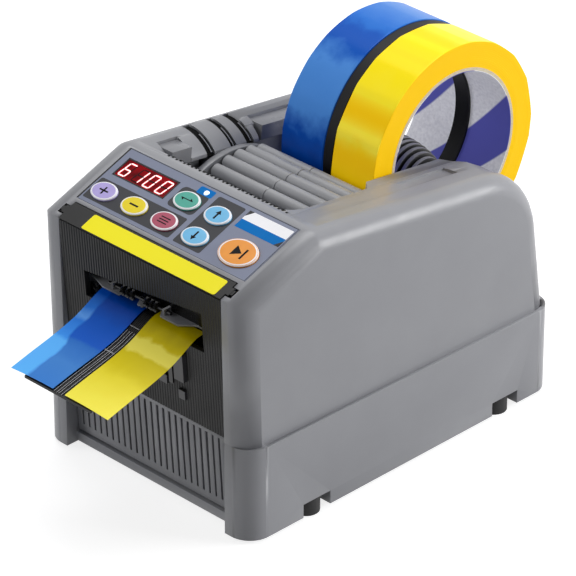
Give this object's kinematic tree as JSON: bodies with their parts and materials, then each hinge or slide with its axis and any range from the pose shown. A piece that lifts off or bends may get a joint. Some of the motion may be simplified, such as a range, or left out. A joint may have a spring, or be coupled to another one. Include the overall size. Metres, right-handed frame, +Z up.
{
  "type": "electric tape dispenser",
  "caption": "Desktop electric tape dispenser with a sloping key panel, ridged front cover with an outlet tray, a bay of guide rollers and two tape rolls on cradle rollers.",
  "frame": {"origin": "bottom centre of the whole thing's bounding box, on the plane that the rubber feet stand on", "axes": "+X to the machine's right seen from its front, +Y from the outlet to the back, +Z up"},
  "size_m": [0.1332, 0.2694, 0.173],
  "materials": {
    "case_plastic": "satin grey moulded plastic",
    "inner_plastic": "satin lighter grey plastic",
    "cover_plastic": "black ridged plastic, dull",
    "overlay": "printed blue-grey film, slightly glossy",
    "display": "dark red filter over a lit digit display",
    "lamp": "clear lens, lit",
    "black_rubber": "black rubber",
    "roller_grey": "dark grey rubber on a steel shaft",
    "steel": "bare steel",
    "motor_can": "zinc grey",
    "gear_nylon": "natural nylon",
    "brass": "turned brass",
    "board": "green circuit board",
    "black_gloss": "black moulded plastic",
    "label_yellow": "plain yellow sticker",
    "film_blue": "glossy blue tape",
    "film_yellow": "glossy yellow tape",
    "card": "light grey cardboard with plain blue bands",
    "hub_plastic": "dark grey ring-ribbed plastic",
    "spacer_black": "black plastic",
    "btn_lilac": "lilac cap with a white ring",
    "btn_yellow": "yellow cap with a white ring",
    "btn_pink": "pink cap with a white ring",
    "btn_green": "green cap with a white ring",
    "btn_sky": "light blue cap with a white ring",
    "btn_orange": "orange cap with a white ring"
  },
  "bodies": {
    "case": {"upper_case": "case_plastic", "base_tub": "case_plastic", "front_grille": "case_plastic", "panel_overlay": "overlay", "display_module": "display", "indicator_lamp": "lamp", "bay_floor": "inner_plastic", "roller_cheeks": "inner_plastic", "axle_ledges": "inner_plastic", "frame_plate_left": "steel", "frame_plate_right": "steel", "tie_bars": "steel", "press_bar": "inner_plastic", "fixed_blade": "steel", "cutter_motor": "motor_can", "feed_motor": "motor_can", "main_board": "board", "panel_board": "board", "power_inlet": "black_gloss", "rubber_feet": "black_rubber", "case_screws": "steel"},
    "cover": {"cover_shell": "cover_plastic", "cover_label": "label_yellow", "tray": "cover_plastic", "strip_blue": "film_blue", "strip_yellow": "film_yellow", "outlet_sensor": "inner_plastic"},
    "blue_roll": {"roll_blue": "film_blue", "core_blue": "card"},
    "yellow_roll": {"roll_yellow": "film_yellow", "core_yellow": "card"},
    "spacer": {"roll_spacer": "spacer_black"},
    "hub": {"core_hub": "hub_plastic"},
    "cradle_front": {"cradle_roller_front": "roller_grey"},
    "cradle_rear": {"cradle_roller_rear": "roller_grey"},
    "stars": {"star_wheels": "black_gloss"},
    "feed": {"feed_roller": "roller_grey", "feed_gear": "gear_nylon"},
    "pinch": {"pinch_roller": "roller_grey"},
    "feed_drive": {"feed_pinion": "brass"},
    "blade": {"moving_blade": "steel"},
    "blade_gear": {"blade_pinion": "brass"},
    "rocker": {"power_rocker": "black_gloss"},
    "key_plus": {"button_plus": "btn_lilac"},
    "key_minus": {"button_minus": "btn_yellow"},
    "key_select": {"button_select": "btn_pink"},
    "key_mode": {"button_mode": "btn_green"},
    "key_up": {"button_up": "btn_sky"},
    "key_down": {"button_down": "btn_sky"},
    "key_start": {"button_start": "btn_orange"},
    "guide_1": {"guide_roller_1": "inner_plastic"},
    "guide_2": {"guide_roller_2": "inner_plastic"},
    "guide_3": {"guide_roller_3": "inner_plastic"},
    "guide_4": {"guide_roller_4": "inner_plastic"},
    "guide_5": {"guide_roller_5": "inner_plastic"},
    "guide_6": {"guide_roller_6": "inner_plastic"},
    "guide_7": {"guide_roller_7": "inner_plastic"}
  },
  "joints": [
    {"name": "cover_hinge", "type": "hinge", "parent": "case", "child": "cover", "pos_m": [0, -0.07953, 0.12029], "axis": [1, 0, 0], "range_deg": [-75, 0]},
    {"name": "blue_roll_spin", "type": "hinge", "parent": "case", "child": "blue_roll", "pos_m": [0, 0.08225, 0.1205], "axis": [1, 0, 0], "continuous": true},
    {"name": "yellow_roll_spin", "type": "hinge", "parent": "case", "child": "yellow_roll", "pos_m": [0, 0.08225, 0.1205], "axis": [1, 0, 0], "continuous": true},
    {"name": "spacer_spin", "type": "hinge", "parent": "case", "child": "spacer", "pos_m": [0, 0.08225, 0.1205], "axis": [1, 0, 0], "continuous": true},
    {"name": "hub_spin", "type": "hinge", "parent": "case", "child": "hub", "pos_m": [0, 0.06375, 0.112], "axis": [1, 0, 0], "continuous": true},
    {"name": "cradle_front_spin", "type": "hinge", "parent": "case", "child": "cradle_front", "pos_m": [0, 0.04315, 0.0739], "axis": [1, 0, 0], "continuous": true},
    {"name": "cradle_rear_spin", "type": "hinge", "parent": "case", "child": "cradle_rear", "pos_m": [0, 0.09725, 0.0647], "axis": [1, 0, 0], "continuous": true},
    {"name": "guide_1_spin", "type": "hinge", "parent": "case", "child": "guide_1", "pos_m": [0, 0.02397, 0.11841], "axis": [1, 0, 0], "continuous": true},
    {"name": "guide_2_spin", "type": "hinge", "parent": "case", "child": "guide_2", "pos_m": [0, 0.01709, 0.12023], "axis": [1, 0, 0], "continuous": true},
    {"name": "guide_3_spin", "type": "hinge", "parent": "case", "child": "guide_3", "pos_m": [0, 0.01, 0.1209], "axis": [1, 0, 0], "continuous": true},
    {"name": "guide_4_spin", "type": "hinge", "parent": "case", "child": "guide_4", "pos_m": [0, 0.0029, 0.12038], "axis": [1, 0, 0], "continuous": true},
    {"name": "guide_5_spin", "type": "hinge", "parent": "case", "child": "guide_5", "pos_m": [0, -0.00402, 0.1187], "axis": [1, 0, 0], "continuous": true},
    {"name": "guide_6_spin", "type": "hinge", "parent": "case", "child": "guide_6", "pos_m": [0, -0.01057, 0.1159], "axis": [1, 0, 0], "continuous": true},
    {"name": "guide_7_spin", "type": "hinge", "parent": "case", "child": "guide_7", "pos_m": [0, -0.01657, 0.11206], "axis": [1, 0, 0], "continuous": true},
    {"name": "feed_spin", "type": "hinge", "parent": "case", "child": "feed", "pos_m": [0, -0.05825, 0.0822], "axis": [1, 0, 0], "continuous": true},
    {"name": "pinch_spin", "type": "hinge", "parent": "case", "child": "pinch", "pos_m": [0, -0.05825, 0.0973], "axis": [1, 0, 0], "continuous": true},
    {"name": "feed_pinion_spin", "type": "hinge", "parent": "case", "child": "feed_drive", "pos_m": [0, -0.04515, 0.068], "axis": [1, 0, 0], "continuous": true},
    {"name": "star_spin", "type": "hinge", "parent": "case", "child": "stars", "pos_m": [0, -0.07905, 0.0953], "axis": [1, 0, 0], "continuous": true},
    {"name": "blade_slide", "type": "slide", "parent": "case", "child": "blade", "axis": [0, 0, -1], "range_m": [0, 0.006]},
    {"name": "blade_pinion_turn", "type": "hinge", "parent": "case", "child": "blade_gear", "pos_m": [0, -0.06145, 0.11], "axis": [1, 0, 0], "range_deg": [-1, 63]},
    {"name": "rocker_tilt", "type": "hinge", "parent": "case", "child": "rocker", "pos_m": [0.04, 0.11115, 0.023], "axis": [1, 0, 0], "range_deg": [-8, 8]},
    {"name": "press_plus", "type": "slide", "parent": "case", "child": "key_plus", "axis": [0, 0.3469, -0.9379], "range_m": [0, 0.0006], "stiffness_N_per_m": 400},
    {"name": "press_minus", "type": "slide", "parent": "case", "child": "key_minus", "axis": [0, 0.3469, -0.9379], "range_m": [0, 0.0006], "stiffness_N_per_m": 400},
    {"name": "press_select", "type": "slide", "parent": "case", "child": "key_select", "axis": [0, 0.3469, -0.9379], "range_m": [0, 0.0006], "stiffness_N_per_m": 400},
    {"name": "press_mode", "type": "slide", "parent": "case", "child": "key_mode", "axis": [0, 0.3469, -0.9379], "range_m": [0, 0.0006], "stiffness_N_per_m": 400},
    {"name": "press_up", "type": "slide", "parent": "case", "child": "key_up", "axis": [0, 0.3469, -0.9379], "range_m": [0, 0.0006], "stiffness_N_per_m": 400},
    {"name": "press_down", "type": "slide", "parent": "case", "child": "key_down", "axis": [0, 0.3469, -0.9379], "range_m": [0, 0.0006], "stiffness_N_per_m": 400},
    {"name": "press_start", "type": "slide", "parent": "case", "child": "key_start", "axis": [0, 0.3469, -0.9379], "range_m": [0, 0.0006], "stiffness_N_per_m": 400}
  ],
  "couplings": [
    {"joint": "feed_pinion_spin", "follows": "feed_spin", "ratio": -3},
    {"joint": "pinch_spin", "follows": "feed_spin", "ratio": -1.2308},
    {"joint": "blade_pinion_turn", "follows": "blade_slide", "rad_per_m": 178.57}
  ]
}
